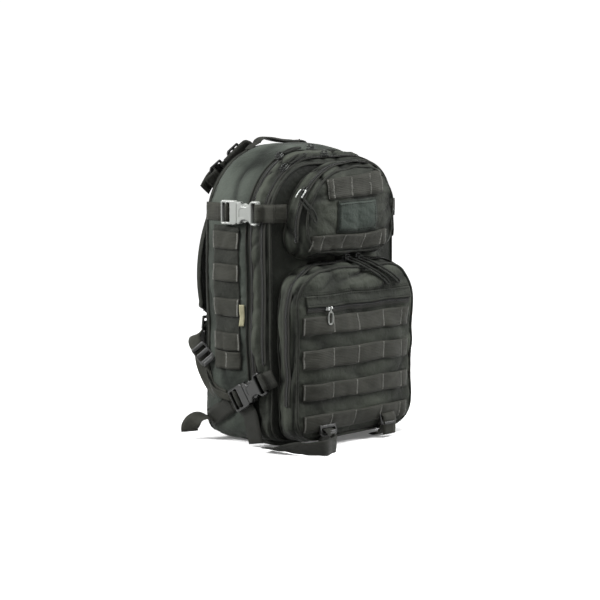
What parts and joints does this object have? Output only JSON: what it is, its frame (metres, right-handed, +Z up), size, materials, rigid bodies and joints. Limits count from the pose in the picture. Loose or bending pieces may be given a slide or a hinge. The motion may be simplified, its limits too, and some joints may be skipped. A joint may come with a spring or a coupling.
{
  "type": "trauma backpack",
  "caption": "Arched soft backpack with two compartments, two front pockets, attachment webbing, side straps with release buckles, zippers, padded harness and grab handle.",
  "frame": {"origin": "centre of the base panel's underside, where the pack stands", "axes": "+Z up, -Y the side with the pockets, +Y the wearer's back, +X to the right seen from the pockets"},
  "size_m": [0.3316, 0.2519, 0.437],
  "materials": {
    "body_fabric": "woven nylon, dark grey",
    "padding": "air mesh over foam",
    "webbing": "woven webbing",
    "loop_fabric": "brushed loop",
    "patch_fabric": "woven blank patch",
    "tag_fabric": "satin tape",
    "zipper": "coil zipper",
    "dark_metal": "black painted",
    "bright_metal": "satin nickel",
    "grey_plastic": "light grey moulded",
    "black_plastic": "moulded",
    "sheet_plastic": "extruded sheet",
    "cord": "braided cord"
  },
  "bodies": {
    "bag": {"back_pads": "padding", "back_panel": "padding", "base_panel": "body_fabric", "blank_patch": "patch_fabric", "frame_sheet": "sheet_plastic", "handle_anchors": "webbing", "lash_locks": "black_plastic", "lash_straps": "webbing", "load_lifters": "webbing", "loop_field": "loop_fabric", "lower_attachment_rows": "webbing", "lower_pocket": "body_fabric", "lower_pocket_zipper_chain": "zipper", "lower_strap_sockets": "black_plastic", "lumbar_pad": "padding", "main_compartment": "body_fabric", "main_zipper_chain": "zipper", "seam_tag": "tag_fabric", "second_compartment": "body_fabric", "second_zipper_chain": "zipper", "shoulder_webbing": "webbing", "side_attachment_rows": "webbing", "side_strap_webbing": "webbing", "side_strip_backings": "webbing", "side_wings": "body_fabric", "slash_pocket_flap": "body_fabric", "slash_zipper_chain": "zipper", "upper_attachment_rows": "webbing", "upper_pocket": "body_fabric", "upper_pocket_zipper_chain": "zipper", "upper_strap_sockets": "grey_plastic", "waist_tails": "webbing", "yoke_panel": "padding"},
    "grab_handle_body": {"grab_handle": "webbing"},
    "upper_strap_left_plug_body": {"upper_strap_left_plug": "grey_plastic"},
    "upper_strap_right_plug_body": {"upper_strap_right_plug": "grey_plastic"},
    "lower_strap_left_plug_body": {"lower_strap_left_plug": "black_plastic"},
    "lower_strap_right_plug_body": {"lower_strap_right_plug": "black_plastic"},
    "sternum_plug_body": {"sternum_plug": "black_plastic"},
    "main_slider_left_body": {"main_slider_left": "dark_metal", "main_pull_cord": "cord"},
    "main_slider_right_body": {"main_slider_right": "dark_metal"},
    "second_slider_left_body": {"second_slider_left": "dark_metal", "second_pull_cord": "cord"},
    "second_slider_right_body": {"second_slider_right": "dark_metal"},
    "upper_pocket_slider_left_body": {"upper_pocket_slider_left": "dark_metal", "upper_pull_cord": "cord"},
    "upper_pocket_slider_right_body": {"upper_pocket_slider_right": "dark_metal"},
    "lower_pocket_slider_left_body": {"lower_pocket_slider_left": "dark_metal", "lower_pull_cord_left": "cord"},
    "lower_pocket_slider_right_body": {"lower_pocket_slider_right": "dark_metal", "lower_pull_cord_right": "cord"},
    "slash_slider_body": {"slash_slider": "dark_metal"},
    "slash_pull_body": {"slash_pull": "bright_metal"},
    "upper_pocket_hook_pull_body": {"upper_pocket_hook_pull": "bright_metal"},
    "harness": {"shoulder_pad_left": "padding", "shoulder_pad_right": "padding", "harness_locks": "black_plastic", "sternum_webbing": "webbing", "sternum_socket": "black_plastic"}
  },
  "joints": [
    {"name": "upper_strap_left_release", "type": "slide", "parent": "bag", "child": "upper_strap_left_plug_body", "axis": [-0.208, 0.9781, 0], "range_m": [0, 0.02]},
    {"name": "lower_strap_left_release", "type": "slide", "parent": "bag", "child": "lower_strap_left_plug_body", "axis": [-0.1701, 0.8305, -0.5303], "range_m": [0, 0.02]},
    {"name": "upper_strap_right_release", "type": "slide", "parent": "bag", "child": "upper_strap_right_plug_body", "axis": [0.208, 0.9781, 0], "range_m": [0, 0.02]},
    {"name": "lower_strap_right_release", "type": "slide", "parent": "bag", "child": "lower_strap_right_plug_body", "axis": [0.1701, 0.8305, -0.5303], "range_m": [0, 0.02]},
    {"name": "handle_swing", "type": "hinge", "parent": "bag", "child": "grab_handle_body", "pos_m": [0, 0.044, 0.428], "axis": [1, 0, 0], "range_deg": [-40, 75]},
    {"name": "harness_swing", "type": "hinge", "parent": "bag", "child": "harness", "pos_m": [0, 0.066, 0.404], "axis": [1, 0, 0], "range_deg": [0, 22]},
    {"name": "sternum_release", "type": "slide", "parent": "harness", "child": "sternum_plug_body", "axis": [1, 0, 0], "range_m": [0, 0.02]},
    {"name": "main_left_travel", "type": "hinge", "parent": "bag", "child": "main_slider_left_body", "pos_m": [-0.03, -0.0365, 0.318], "axis": [0, -1, 0], "range_deg": [0, 38]},
    {"name": "main_right_travel", "type": "slide", "parent": "bag", "child": "main_slider_right_body", "axis": [1, 0, 0], "range_m": [0, 0.038]},
    {"name": "second_left_travel", "type": "hinge", "parent": "bag", "child": "second_slider_left_body", "pos_m": [-0.0267, -0.0574, 0.3092], "axis": [0, -1, 0], "range_deg": [0, 28]},
    {"name": "second_right_travel", "type": "slide", "parent": "bag", "child": "second_slider_right_body", "axis": [1, 0, 0], "range_m": [0, 0.03]},
    {"name": "upper_left_travel", "type": "hinge", "parent": "bag", "child": "upper_pocket_slider_left_body", "pos_m": [-0.008, -0.0925, 0.302], "axis": [0, -1, 0], "range_deg": [-14, 34]},
    {"name": "upper_right_travel", "type": "hinge", "parent": "bag", "child": "upper_pocket_slider_right_body", "pos_m": [0.008, -0.0925, 0.302], "axis": [0, 1, 0], "range_deg": [-60, 12]},
    {"name": "lower_left_travel", "type": "slide", "parent": "bag", "child": "lower_pocket_slider_left_body", "axis": [-1, 0, 0], "range_m": [0, 0.055]},
    {"name": "lower_right_travel", "type": "slide", "parent": "bag", "child": "lower_pocket_slider_right_body", "axis": [1, 0, 0], "range_m": [0, 0.022]},
    {"name": "slash_travel", "type": "slide", "parent": "bag", "child": "slash_slider_body", "axis": [1, 0, 0], "range_m": [0, 0.14]},
    {"name": "slash_pull_swing", "type": "hinge", "parent": "slash_slider_body", "child": "slash_pull_body", "pos_m": [-0.056, -0.123, 0.1998], "axis": [-1, 0, 0], "range_deg": [0, 95]},
    {"name": "hook_pull_swing", "type": "hinge", "parent": "upper_pocket_slider_left_body", "child": "upper_pocket_hook_pull_body", "pos_m": [-0.08054, -0.0925, 0.36326], "axis": [0, 1, 0], "range_deg": [0, 85]}
  ]
}
